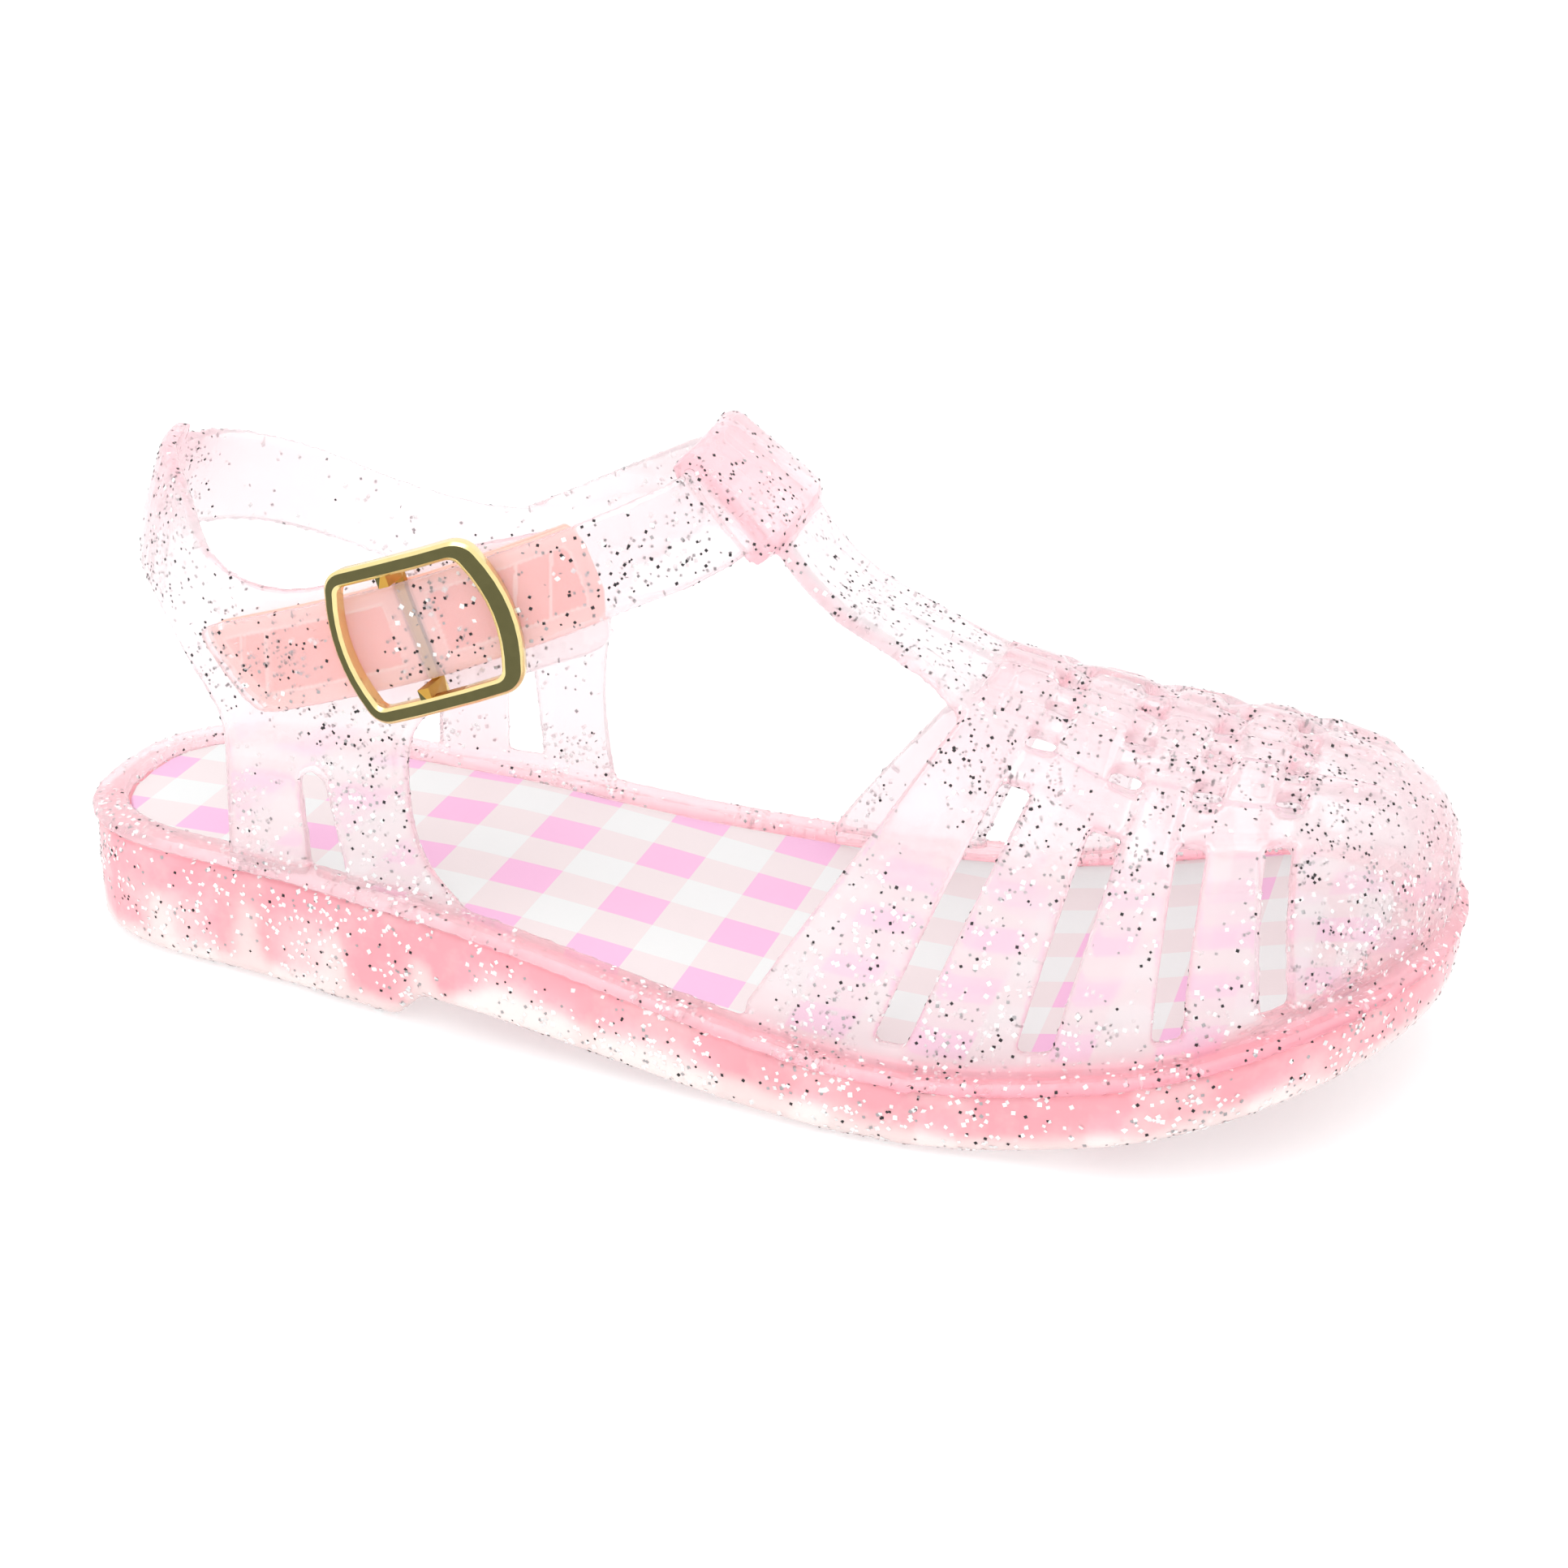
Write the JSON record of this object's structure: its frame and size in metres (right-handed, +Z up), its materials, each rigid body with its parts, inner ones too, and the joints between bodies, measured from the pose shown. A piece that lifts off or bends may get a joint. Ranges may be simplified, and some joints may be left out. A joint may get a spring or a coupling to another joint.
{
  "type": "jelly sandal",
  "caption": "Child's jelly sandal, right foot: woven closed toe, T-bar, ankle strap with buckle, open heel band and a low ribbed sole.",
  "frame": {"origin": "on the floor under the middle of the heel, 26 mm ahead of the heel's back", "axes": "+X from heel to toe, +Y to the medial side, +Z up from the floor"},
  "size_m": [0.172, 0.0714, 0.071],
  "materials": {
    "sole_plastic": "clear pink with glitter, gloss",
    "upper_plastic": "clear pale pink with glitter, gloss",
    "insole_print": "pink gingham print, matt",
    "hook_tape": "salmon, matt",
    "loop_tape": "salmon, matt",
    "buckle_metal": "polished gold colour"
  },
  "bodies": {
    "root": {"outsole": "sole_plastic", "insole": "insole_print", "upper": "upper_plastic", "strap_patch_front": "hook_tape", "strap_patch_rear": "hook_tape", "tab_patch": "loop_tape", "buckle": "buckle_metal"}
  },
  "joints": []
}
